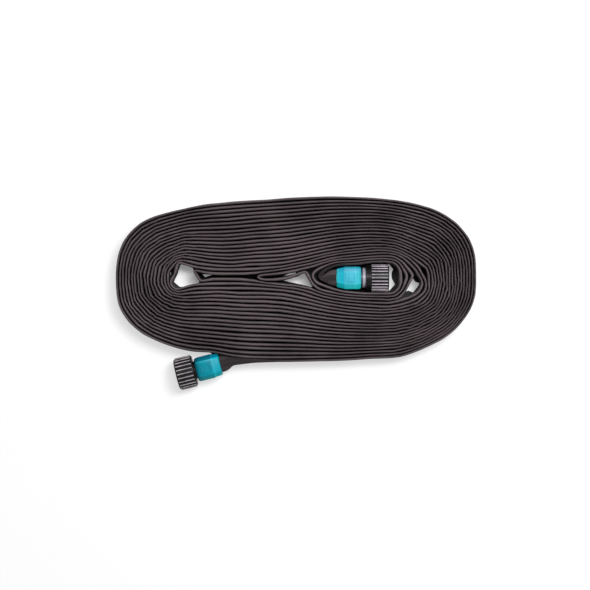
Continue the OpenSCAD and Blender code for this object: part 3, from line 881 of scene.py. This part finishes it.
# Painted light inside an oval over the middle of the coil, and painted shade outside it.
PAINTED_LIGHT_OVAL = ((10, 15), (150, 50))
PAINTED_LIGHT_EDGE = (0.4, 1.3)
PAINTED_LIGHT_AND_SHADE_TONES = (0.05, -0.2)
DARKEST_TONE = 0.35
LIGHTEST_TONE = 0.85


def cycle(tree, kind, coordinate, length):
    """A sine or cosine that comes round again after each length."""
    return math_node(tree, kind, math_node(tree, "MULTIPLY", coordinate, 2 * math.pi / length))


def plus(tree, value, extra, share):
    """The value, with a share of something extra on top."""
    return math_node(tree, "ADD", value, math_node(tree, "MULTIPLY", extra, share))


def cloth(name, dark, light, bump_depth):
    """Woven cloth: both folds paler from wear and a painted highlight, painted shade on them near the
    ends, and painted light in the middle of the coil with painted shade outside it.
    """
    material, tree = new_material(name)
    uv = add(tree, "ShaderNodeUVMap", uv_map="UVMap").outputs["UV"]
    place = add(tree, "ShaderNodeTexCoord").outputs["Object"]
    axes = add(tree, "ShaderNodeSeparateXYZ", {"Vector": uv}).outputs
    warp = cycle(tree, "SINE", axes["X"], YARN_ALONG)
    weft = cycle(tree, "SINE", axes["Y"], YARN_ROUND)
    weave = math_node(tree, "MULTIPLY", warp, weft)
    worn = noise_node(tree, place, WORN_SCALE, WORN_DETAIL)
    lint = noise_node(tree, place, LINT_SCALE)
    tone = plus(tree, plus(tree, worn, weave, WEAVE_TONE), lint, LINT_TONE)
    # Painted highlight, partly wear: the cloth is paler along both folds.
    near_fold = cycle(tree, "COSINE", axes["Y"], girth / 2)
    near_fold = math_node(tree, "POWER", near_fold, FOLD_WEAR_AND_HIGHLIGHT_SHARPNESS)
    far_end = math_node(tree, "SUBTRACT", hose_length * MM, axes["X"])
    nearest_end = math_node(tree, "MINIMUM", axes["X"], far_end)
    fold_wear_and_highlight = math_node(tree, "MULTIPLY", near_fold, FOLD_WEAR_AND_HIGHLIGHT)
    # Near both ends, by the fittings, the fold highlight turns into painted shade.
    fold_wear_and_highlight = math_node(tree, "MULTIPLY", fold_wear_and_highlight, faded(tree, nearest_end, LEAD_END, LEAD_FOLD_PAINTED_SHADE, 1.0))
    tone = math_node(tree, "ADD", tone, fold_wear_and_highlight)
    # Painted light: paler inside the oval over the middle; painted shade: darker towards the ends and
    # outer turns.
    painted_light_and_shade = faded(tree, oval_distance(tree, *PAINTED_LIGHT_OVAL), PAINTED_LIGHT_EDGE, *PAINTED_LIGHT_AND_SHADE_TONES)
    tone = math_node(tree, "SUBTRACT", math_node(tree, "ADD", tone, painted_light_and_shade), DARKEST_TONE)
    colour = ramp(tree, tone, [(0.0, dark), (LIGHTEST_TONE, light)])
    relief = plus(tree, weave, lint, LINT_RELIEF)
    dent = add(tree, "ShaderNodeBump", {"Height": relief, "Distance": bump_depth, "Strength": 1.0})
    shader = add(tree, "ShaderNodeBsdfPrincipled", {
        "Base Color": colour, "Roughness": 0.8, "Specular IOR Level": 0.1,
        "Normal": dent.outputs["Normal"],
    })
    finish_material(tree, shader.outputs["BSDF"])
    return material


hose_cloth = cloth("hose_cloth", CLOTH_DARK, CLOTH_LIGHT, CLOTH_RELIEF)
hose = object_from(bm, "hose_coil_cloth", "hose", hose_cloth, sharp_angle=60)
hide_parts("hose_coil", "inlet_lead", "outlet_lead")
print("cloth on", hose.name)

# %% [markdown]
# ## Moulded plastic
#
# Injection-moulded plastic is even in colour and never quite smooth. A cloud of noise moves
# the colour a little, and a fine one roughens the gloss and gives the skin its grain. The
# collars catch more light on one part than on another, so ramps paint that light and shade
# into them along and across their own axis, with painted highlights along some edges: a
# Mapping node turns the object's coordinates that way. The nut and the cap have a ramp away
# from the axis, so that the crests of their ribs carry painted highlights and are paler than
# the grooves. The neck of the outlet's tailpiece gets painted shade the same way.

# %% Plastic material
GRAIN = 0.003 * MM
GRAIN_SCALE = 1600.0
GRAIN_EDGE = (0.3, 0.7)
GRAIN_ROUGHNESS = (-0.05, 0.07)
CLOUD_SCALE = 90.0
CLOUD_DETAIL = 3.0
CLOUD_STOPS = (0.35, 0.65)
INLET_HEADING = math.radians(194)
UPRIGHT_TO_LYING = Matrix.Rotation(math.radians(90), 4, "Y")
INLET_TURN = Matrix.Rotation(INLET_HEADING, 4, "Z")
INLET_PLACE = Matrix.Translation(Vector(INLET_AT) * MM) @ INLET_TURN @ UPRIGHT_TO_LYING
OUTLET_PLACE = Matrix.Translation(Vector(OUTLET_AT) * MM) @ UPRIGHT_TO_LYING


def fitting_axes(tree, place):
    """Where a point is in its fitting: across, and along from the collar's hose end."""
    back = place.inverted()
    coordinates = add(tree, "ShaderNodeTexCoord").outputs["Object"]
    return add(tree, "ShaderNodeMapping", {
        "Vector": coordinates, "Rotation": back.to_euler(), "Location": back.translation,
    }).outputs["Vector"]


def zone_shade(tree, distance, zones):
    """A colour for each place on a scale of millimetres, with even blends between them."""
    low, high = zones[0][0], zones[-1][0]
    share = faded(tree, distance, (low * MM, high * MM), 0.0, 1.0)
    return ramp(tree, share, [((at - low) / (high - low), shade) for at, shade in zones])


def multiplied(tree, colour, shade):
    return add(tree, "ShaderNodeMix", {"Factor": 1.0, 6: colour, 7: shade},
               data_type="RGBA", blend_type="MULTIPLY").outputs[2]


def plastic(name, dark, light, roughness, specular, place=None, along=None, across=None, crest=None):
    """Moulded plastic. The three lists of zones paint light and shade into it along, across and away
    from the axis.
    """
    material, tree = new_material(name)
    coordinates = add(tree, "ShaderNodeTexCoord").outputs["Object"]
    cloud = noise_node(tree, coordinates, CLOUD_SCALE, CLOUD_DETAIL)
    grain = noise_node(tree, coordinates, GRAIN_SCALE)
    colour = ramp(tree, cloud, list(zip(CLOUD_STOPS, (dark, light))))
    if place:
        local = fitting_axes(tree, place)
        axes = add(tree, "ShaderNodeSeparateXYZ", {"Vector": local}).outputs
        if along:
            colour = multiplied(tree, colour, zone_shade(tree, axes["Z"], along))
        if across:
            colour = multiplied(tree, colour, zone_shade(tree, axes["Y"], across))
        if crest:
            spoke = add(tree, "ShaderNodeCombineXYZ", {"X": axes["X"], "Y": axes["Y"]})
            spoke = spoke.outputs["Vector"]
            radius = add(tree, "ShaderNodeVectorMath", {0: spoke}, operation="LENGTH")
            colour = multiplied(tree, colour, zone_shade(tree, radius.outputs["Value"], crest))
    smoothest, roughest = (roughness + change for change in GRAIN_ROUGHNESS)
    rough = faded(tree, grain, GRAIN_EDGE, smoothest, roughest)
    dent = add(tree, "ShaderNodeBump", {"Height": grain, "Distance": GRAIN})
    shader = add(tree, "ShaderNodeBsdfPrincipled", {
        "Base Color": colour, "Roughness": rough, "Specular IOR Level": specular,
        "Normal": dent.outputs["Normal"],
    })
    finish_material(tree, shader.outputs["BSDF"])
    return material


# Each plastic: its darkest and lightest colour, then its roughness and how much it mirrors.
BLACK = ((0.006, 0.006, 0.0065), (0.012, 0.011, 0.012), 0.3, 0.12)
PALE = ((0.33, 0.33, 0.40), (0.40, 0.40, 0.47), 0.35, 0.4)
INLET_BLUE = ((0.001, 0.255, 0.34), (0.001, 0.285, 0.375), 0.35, 0.12)
OUTLET_BLUE = ((0.05, 0.48, 0.62), (0.06, 0.52, 0.67), 0.5, 0.2)
RUBBER = ((0.012, 0.012, 0.013), (0.022, 0.021, 0.022), 0.62, 0.25)

# Each zone: a place in millimetres, and what the colour is multiplied by there. The zones are
# painted light and shade: highlights along lit edges and rib crests, shade on faces turned away.
WHITE = (1, 1, 1)
OUTLET_PAINTED_LIGHT_ALONG = [
    (0, (1, 1.05, 0.85)), (2.6, (0.3, 1, 1)), (7.8, (0.2, 1, 1.04)), (8.4, WHITE),
    (19.5, WHITE), (20.2, (1.3, 1.2, 1.15)), (21.6, (0.7, 1, 0.98)), (26.5, (0.6, 0.95, 0.85)),
]
OUTLET_PAINTED_LIGHT_ACROSS = [
    (-12, (0.5, 1.5, 1.2)), (-8, (0.7, 1.35, 1.15)), (-6, WHITE), (5.5, WHITE),
    (7, (2.2, 1.05, 1.1)), (9.5, (2, 1.03, 1.1)), (10.8, (0.5, 0.7, 0.75)),
]
# Painted highlights along the lit edges of the inlet's collar, and painted shade on its far faces.
INLET_PAINTED_LIGHT_ALONG = [
    (0, (1, 1.2, 1.05)), (2, (1, 1.35, 1.35)), (7.2, (1, 1.4, 1.4)), (7.7, (9, 1.8, 1.7)),
    (8.6, WHITE), (20, (1, 0.97, 0.98)), (23, (1, 0.75, 0.75)), (26.5, (1, 0.4, 0.45)),
]
INLET_PAINTED_LIGHT_ACROSS = [
    (-12.8, (1, 0.5, 0.6)), (-8.8, (1, 0.62, 0.68)), (-8.3, (8, 1.4, 1.35)), (-7.2, (8, 1.4, 1.35)),
    (-6.6, WHITE), (8, WHITE), (12.8, (1, 1, 0.75)),
]
# Painted shade: the neck of the outlet's tailpiece is dark in the gap next to the collar.
NECK_PAINTED_SHADE = [(0, (0.05, 0.05, 0.08)), (28, (0.05, 0.05, 0.08)), (28.4, WHITE), (60, WHITE)]
# Painted highlights: the crests of the nut's and the cap's ribs are many times paler than the
# grooves.
NUT_CREST_HIGHLIGHT = [(10, WHITE), (16.8, WHITE), (17.25, (44, 43, 42)), (18, (44, 43, 42))]
CAP_CREST_HIGHLIGHT = [(10, WHITE), (13.95, WHITE), (14.25, (56, 53, 54)), (15, (56, 53, 54))]
inlet_plastic = plastic("inlet_plastic", *INLET_BLUE, INLET_PLACE, INLET_PAINTED_LIGHT_ALONG, INLET_PAINTED_LIGHT_ACROSS)
outlet_plastic = plastic("outlet_plastic", *OUTLET_BLUE, OUTLET_PLACE, OUTLET_PAINTED_LIGHT_ALONG, OUTLET_PAINTED_LIGHT_ACROSS)
nut_plastic = plastic("nut_plastic", *BLACK, INLET_PLACE, crest=NUT_CREST_HIGHLIGHT)
cap_plastic = plastic("cap_plastic", *BLACK, OUTLET_PLACE, crest=CAP_CREST_HIGHLIGHT)
black_plastic = plastic("black_plastic", *BLACK)
pale_plastic = plastic("pale_plastic", *PALE)
ring_plastic = plastic("ring_plastic", *PALE, OUTLET_PLACE, NECK_PAINTED_SHADE)
rubber = plastic("rubber", *RUBBER)
print("plastics:", [m.name for m in bpy.data.materials if "plastic" in m.name])

# %% [markdown]
# ## Rounding the moulded parts
#
# A mould can't make a knife edge, and the small round along each edge is what catches the
# light. The CAD parts are right in shape, so each visible piece starts as a copy of one. The
# copy's triangles are merged, the ones that lie in one plane are joined into whole faces, and
# then its outer edges are bevelled, except for the nut's, which stay sharp. Edges inside the
# part stay as they are. After that the points between the ribs are moved towards the axis,
# so that the grooves are deeper, and the outlet's collar is made narrower at its hose end.

# %% Rounded copies of the CAD parts
MERGE = 0.002 * MM
SAME_PLANE = math.radians(1.5)
BEVEL_SEGMENTS = 3
TAPER = 0.89
TAPER_LENGTH = 7.8


def rounded_copy(node, place, edge_angle, radius, inside, deeper=None, tapered=False):
    """A copy with rounded outer edges. Only what is farther out than inside is changed."""
    bm = bmesh.new()
    bm.from_mesh(nodes[node].data)
    bmesh.ops.remove_doubles(bm, verts=bm.verts, dist=MERGE)
    bmesh.ops.dissolve_limit(bm, angle_limit=SAME_PLANE, verts=bm.verts, edges=bm.edges)
    bmesh.ops.transform(bm, matrix=place.inverted(), verts=bm.verts)
    outer = [
        e for e in bm.edges
        if e.is_manifold and e.calc_face_angle_signed() > math.radians(edge_angle)
        and min(v.co.xy.length for v in e.verts) > inside * MM
    ]
    if radius:
        bmesh.ops.bevel(bm, geom=outer, offset=radius * MM, segments=BEVEL_SEGMENTS, profile=0.5,
                        affect="EDGES", clamp_overlap=True, material=-1)
    for vertex in bm.verts:
        across = vertex.co.xy.length
        if across > inside * MM and deeper:
            new = np.interp(across / MM, [d[0] for d in deeper], [d[1] for d in deeper]) * MM
            vertex.co.xy *= new / across
        if across > inside * MM and tapered:
            vertex.co.xy *= np.interp(vertex.co.z / MM, [0, TAPER_LENGTH], [TAPER, 1])
    bmesh.ops.transform(bm, matrix=place, verts=bm.verts)
    print(node, "- rounded edges:", len(outer), "faces:", len(bm.faces))
    return bm


NUT_DEEPER = [(14.5, 14.5), (16.6, 15.9), (17.1, 16.3), (17.5, 17.5)]
CAP_DEEPER = [(12.5, 12.5), (13.5, 13.5), (14.3, 13.8), (14.7, 14.7)]
INLET_EDGES = {"edge_angle": 28, "radius": 0.9, "inside": 9.6}
OUTLET_EDGES = {**INLET_EDGES, "tapered": True}
NUT_EDGES = {"edge_angle": 60, "radius": 0, "inside": 14.5, "deeper": NUT_DEEPER}
CAP_EDGES = {"edge_angle": 45, "radius": 0.2, "inside": 12.5, "deeper": CAP_DEEPER}
inlet_look = ("hose", "inlet_collar_plastic", inlet_plastic)
outlet_look = ("hose", "outlet_collar_plastic", outlet_plastic)
parts = [
    ("inlet_collar_upper", INLET_PLACE, inlet_look, INLET_EDGES),
    ("inlet_collar_lower", INLET_PLACE, inlet_look, INLET_EDGES),
    ("outlet_collar_upper", OUTLET_PLACE, outlet_look, OUTLET_EDGES),
    ("outlet_collar_lower", OUTLET_PLACE, outlet_look, OUTLET_EDGES),
    ("swivel_nut", INLET_PLACE, ("nut", "black_plastic", nut_plastic), NUT_EDGES),
    ("end_cap", OUTLET_PLACE, ("cap", "black_plastic", cap_plastic), CAP_EDGES),
]
for node, place, (body, slot, material), edges in parts:
    bm = rounded_copy(node, place, **edges)
    piece = object_from(bm, node + "_moulded", body, material, sharp_angle=38)
    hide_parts(node)

# %% [markdown]
# ## The small parts
#
# The other parts keep their CAD shape: they sit inside the fittings, and little of them shows.
# They only need a material. The ends of the jacket are cloth, cut across, so the yarns are
# drawn with a wave texture on the object's own coordinates.

# %% Materials for the small parts
CUT_YARN_SCALE = 260.0
CUT_YARN_WOBBLE = 1.5
CUT_YARN_DEPTH = 0.1 * MM
CUT_CLOTH_STOPS = [(0.2, (0.04, 0.033, 0.035)), (0.8, (0.12, 0.1, 0.105))]


def cut_cloth(name):
    material, tree = new_material(name)
    place = add(tree, "ShaderNodeTexCoord").outputs["Object"]
    yarns = add(tree, "ShaderNodeTexWave", {
        "Vector": place, "Scale": CUT_YARN_SCALE, "Distortion": CUT_YARN_WOBBLE,
    }).outputs["Fac"]
    colour = ramp(tree, yarns, CUT_CLOTH_STOPS)
    dent = add(tree, "ShaderNodeBump", {"Height": yarns, "Distance": CUT_YARN_DEPTH})
    shader = add(tree, "ShaderNodeBsdfPrincipled", {
        "Base Color": colour, "Roughness": 0.85, "Specular IOR Level": 0.1,
        "Normal": dent.outputs["Normal"],
    })
    finish_material(tree, shader.outputs["BSDF"])
    return material


jacket_cloth = cut_cloth("jacket_cloth")
small_parts = {
    "inlet_jacket_end": jacket_cloth, "outlet_jacket_end": jacket_cloth,
    "inlet_liner_end": rubber, "outlet_liner_end": rubber,
    "inlet_washer": rubber, "cap_washer": rubber,
    "inlet_tailpiece": black_plastic, "outlet_tailpiece": ring_plastic,
    "flow_restrictor": pale_plastic,
}
for node, material in small_parts.items():
    mesh = nodes[node].data
    mesh.materials.clear()
    mesh.materials.append(material)
print("materials set on", len(small_parts), "CAD parts")

# %% [markdown]
# ## The floor under the coil
#
# Hardly any light gets down between the turns, so the floor there is given painted shade: it
# is a second, dark sheet, and its outline is the last turn of the hose and the free stretch,
# so its edge is never seen. Where the coil is open, a patch of white floor lies on it. The
# patches are listed as they look at the height of the hose's top edge. The floor is farther
# from the camera, so they are put a little farther from the middle of the view.

# %% Floor under the coil
# Painted shade: the dark sheet under the turns reflects this little and does not glow.
PAINTED_SHADE_FLOOR = 0.04
INNER_GLOW = 0.22
UNDER_START = 20.835
UNDER_RAISE = 0.02 * MM
OUTLINE_STEP = 6
OPEN_PLACES = [
    [(-134.2, 14.6), (-129.8, 21.7), (-127.7, 31.6), (-122, 32.2), (-112, 28.3), (-109.4, 23.5),
     (-106.4, 18), (-104, 12.5), (-105, 9.6), (-112, 8.6), (-120, 6.4), (-125, 6.8), (-130, 11)],
    [(-100.4, 20.2), (-90.5, 19.4), (-97.9, 17)],
    [(-136.8, 19.5), (-135.8, 22.3), (-134.3, 22.8), (-134.6, 19.5), (-136, 17.6)],
    [(-14.5, 13.6), (-8, 15.2), (1, 17.6), (8, 21.5), (10.2, 21.8), (13, 16.5), (17.6, 7.6),
     (15.8, 6.4), (8, 8.5), (0, 10.3), (-8, 12)],
    [(-13.5, 18.4), (-8, 20.9), (-0.5, 22), (-1, 20.8), (-7, 19.2)],
    [(98, 31), (99, 31), (103.3, 25.7), (101.6, 20.9), (102, 15.5), (105.4, 9.2), (99.5, 2.7),
     (98, 2.7)],
    [(123.9, 16.4), (127.3, 11.8), (132.4, 10.4), (124.7, 0.6), (119.8, 2.7), (114.8, 0.8),
     (116, 3), (120, 10)],
]


def floor_sheet(name, outlines, height, material):
    """Flat floor inside each outline."""
    bm = bmesh.new()
    for outline in outlines:
        bm.faces.new([bm.verts.new((x, y, height)) for x, y in outline])
    bmesh.ops.recalc_face_normals(bm, faces=bm.faces)
    upside_down = [f for f in bm.faces if f.normal.z < 0]
    bmesh.ops.reverse_faces(bm, faces=upside_down)
    bmesh.ops.triangulate(bm, faces=bm.faces, ngon_method="EAR_CLIP")
    mesh = bpy.data.meshes.new(name)
    bm.to_mesh(mesh)
    bm.free()
    mesh.materials.append(material)
    sheet = bpy.data.objects.new(name, mesh)
    scene.collection.objects.link(sheet)
    print(name, len(mesh.polygons), "triangles")


last_turn = line[line[:, TURN_COLUMN] > UNDER_START][::OUTLINE_STEP, :2] * MM
# A dark sheet of painted shade under the turns of the coil.
painted_shade_floor = floor_white("floor_painted_shade", 0.0, PAINTED_SHADE_FLOOR)
floor_sheet("floor_under_coil", [last_turn], UNDER_RAISE, painted_shade_floor)
view_middle = np.array(camera.location[:2])
farther = (CAMERA_HEIGHT + TOP_EDGE) / CAMERA_HEIGHT
patches = [(np.array(p) * MM - view_middle) * farther + view_middle for p in OPEN_PLACES]
light_floor = floor_white("floor_in_the_open", INNER_GLOW, FLOOR_SUM - INNER_GLOW)
floor_sheet("floor_in_open_places", patches, 2 * UNDER_RAISE, light_floor)
